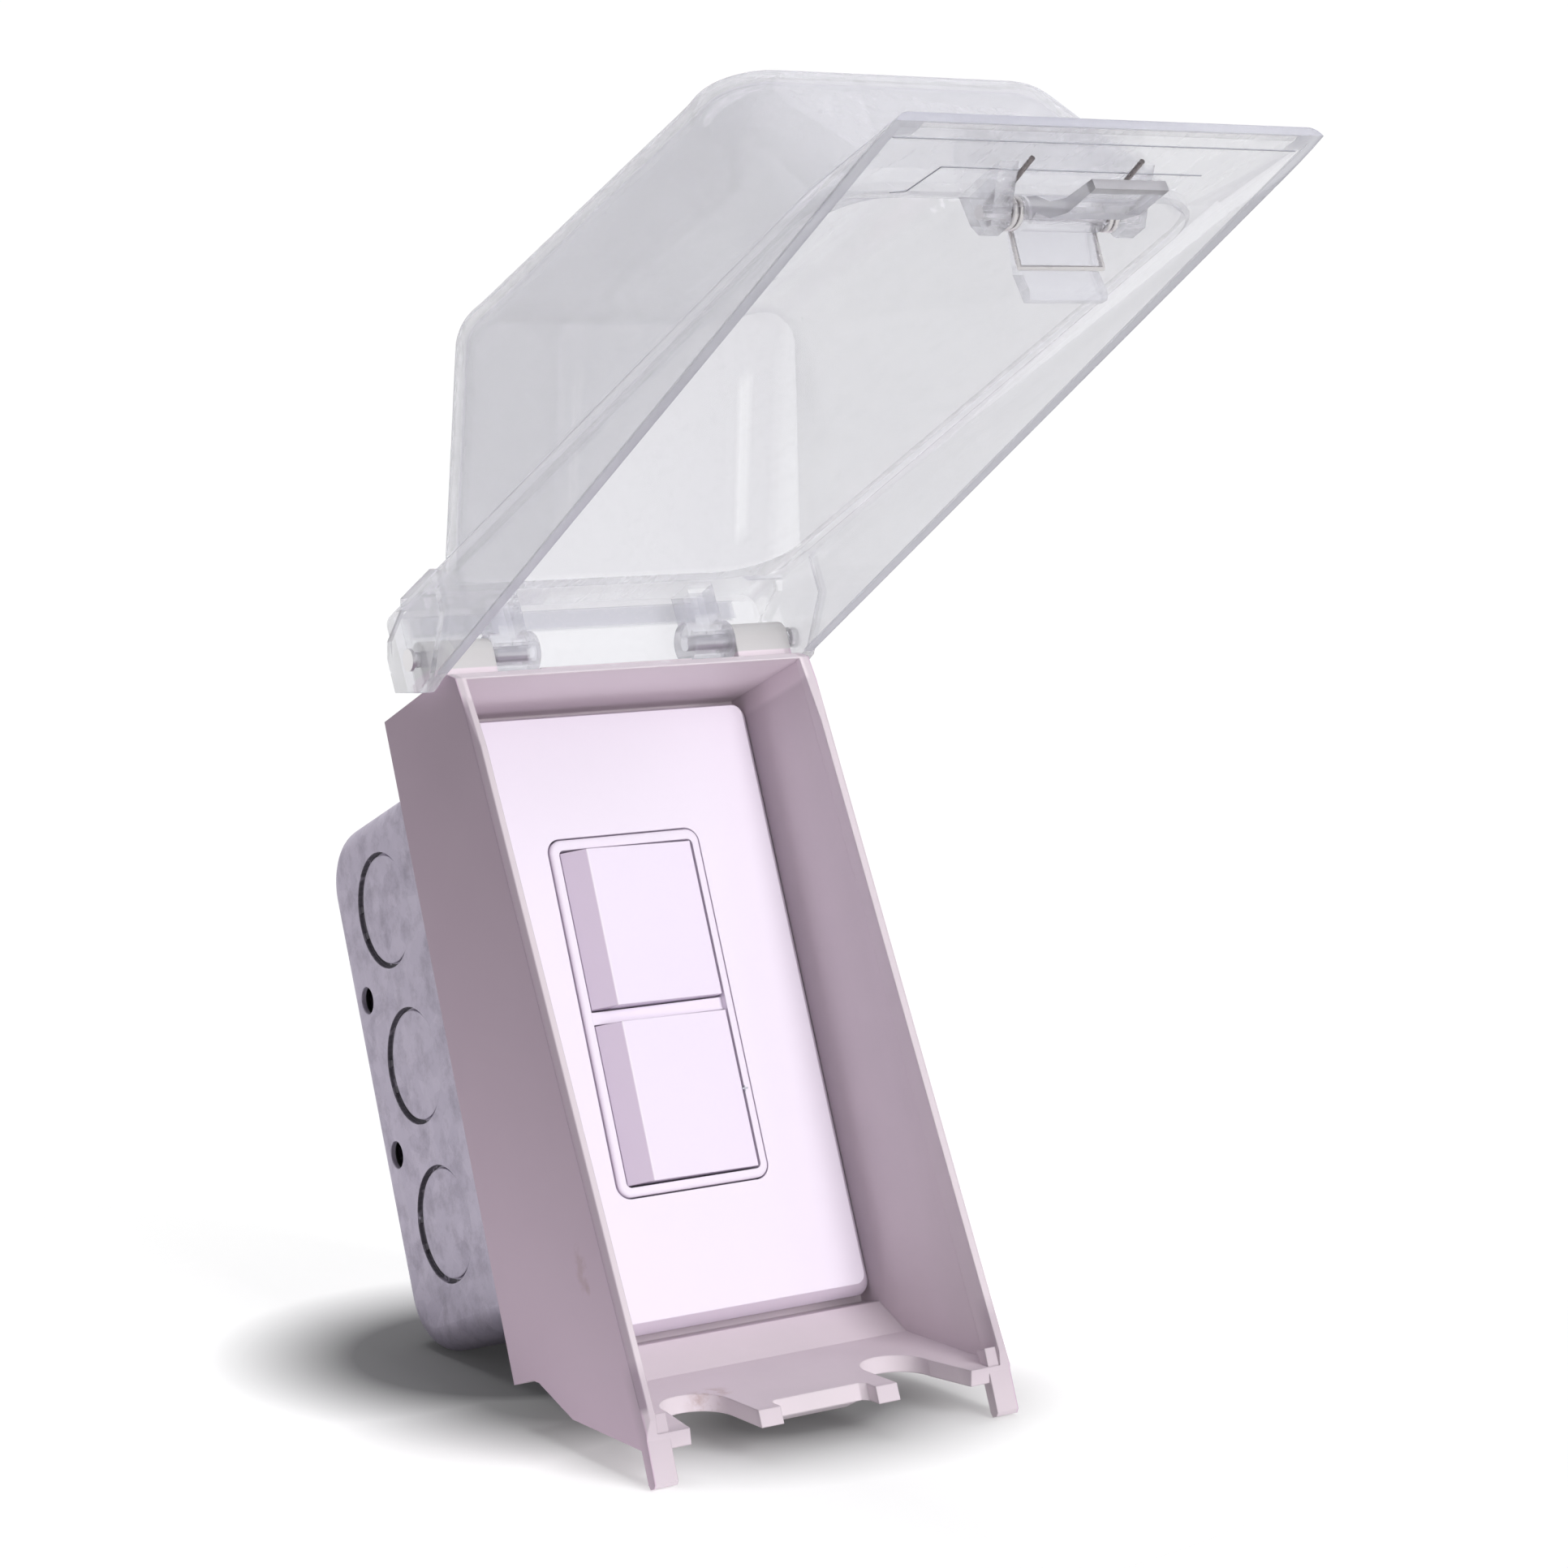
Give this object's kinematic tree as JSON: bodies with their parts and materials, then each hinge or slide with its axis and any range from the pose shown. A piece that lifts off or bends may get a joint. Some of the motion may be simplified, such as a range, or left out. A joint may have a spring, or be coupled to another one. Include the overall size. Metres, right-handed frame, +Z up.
{
  "type": "outdoor weatherproof switch",
  "caption": "Weatherproof light switch: wedge frame with a clear domed hinged lid and spring latch over side-acting rockers, on a steel wall box.",
  "frame": {"origin": "middle of the wall plate in the plane of the cover frame's back rim, where the frame meets the wall", "axes": "+X right seen from the front, +Y back into the wall, +Z up"},
  "size_m": [0.0812, 0.251, 0.2039],
  "materials": {
    "frame_pvc": "satin",
    "clear_lid": "clear",
    "latch_plastic": "translucent grey",
    "pin_steel": "bright",
    "plate_plastic": "gloss",
    "galvanised": "galvanised",
    "foam": "foam",
    "housing_plastic": "matte",
    "contact_brass": "bright",
    "green_screw": "green"
  },
  "bodies": {
    "base": {"cover_frame": "frame_pvc", "wall_plate": "plate_plastic", "sub_plate": "plate_plastic", "insert_frame": "plate_plastic", "mounting_strap": "galvanised", "strap_screws": "pin_steel", "sub_plate_screws": "pin_steel", "ground_screw": "green_screw", "box_ground_screw": "green_screw", "wall_box": "galvanised", "wall_gasket": "foam", "fixed_contact_upper": "contact_brass", "common_terminal_upper": "contact_brass", "fixed_contact_lower": "contact_brass", "common_terminal_lower": "contact_brass", "terminal_screws": "contact_brass", "rocker_pins": "pin_steel", "switch_housing": "housing_plastic", "housing_back_cover": "housing_plastic"},
    "lid": {"lid": "clear_lid", "hinge_pin_left": "pin_steel", "hinge_pin_right": "pin_steel", "latch_pin": "pin_steel", "latch_spring": "pin_steel"},
    "latch": {"latch": "latch_plastic"},
    "rocker_upper": {"rocker_upper": "plate_plastic"},
    "rocker_lower": {"rocker_lower": "plate_plastic"},
    "arm_upper": {"contact_arm_upper": "contact_brass"},
    "arm_lower": {"contact_arm_lower": "contact_brass"}
  },
  "joints": [
    {"name": "lid_hinge", "type": "hinge", "parent": "base", "child": "lid", "pos_m": [0, -0.0215, 0.065], "axis": [1, 0, 0], "range_deg": [-6, 89.15]},
    {"name": "latch_hinge", "type": "hinge", "parent": "lid", "child": "latch", "pos_m": [0, -0.17335, 0.08173], "axis": [1, 0, 0], "range_deg": [-18, 35.5], "stiffness_Nm_per_rad": 0.02, "deforming": ["latch_spring"]},
    {"name": "rocker_upper_tilt", "type": "hinge", "parent": "base", "child": "rocker_upper", "pos_m": [0, -0.008, 0.0153], "axis": [0, 0, -1], "range_deg": [0, 8]},
    {"name": "rocker_lower_tilt", "type": "hinge", "parent": "base", "child": "rocker_lower", "pos_m": [0, -0.008, -0.0167], "axis": [0, 0, -1], "range_deg": [0, 8]},
    {"name": "contact_arm_upper_swing", "type": "hinge", "parent": "base", "child": "arm_upper", "pos_m": [0, 0.019, 0.0153], "axis": [0, 0, 1], "range_deg": [0, 7.1]},
    {"name": "contact_arm_lower_swing", "type": "hinge", "parent": "base", "child": "arm_lower", "pos_m": [0, 0.019, -0.0167], "axis": [0, 0, 1], "range_deg": [0, 7.1]}
  ],
  "couplings": [
    {"joint": "contact_arm_upper_swing", "follows": "rocker_upper_tilt", "ratio": 0.8667},
    {"joint": "contact_arm_lower_swing", "follows": "rocker_lower_tilt", "ratio": 0.8667}
  ]
}
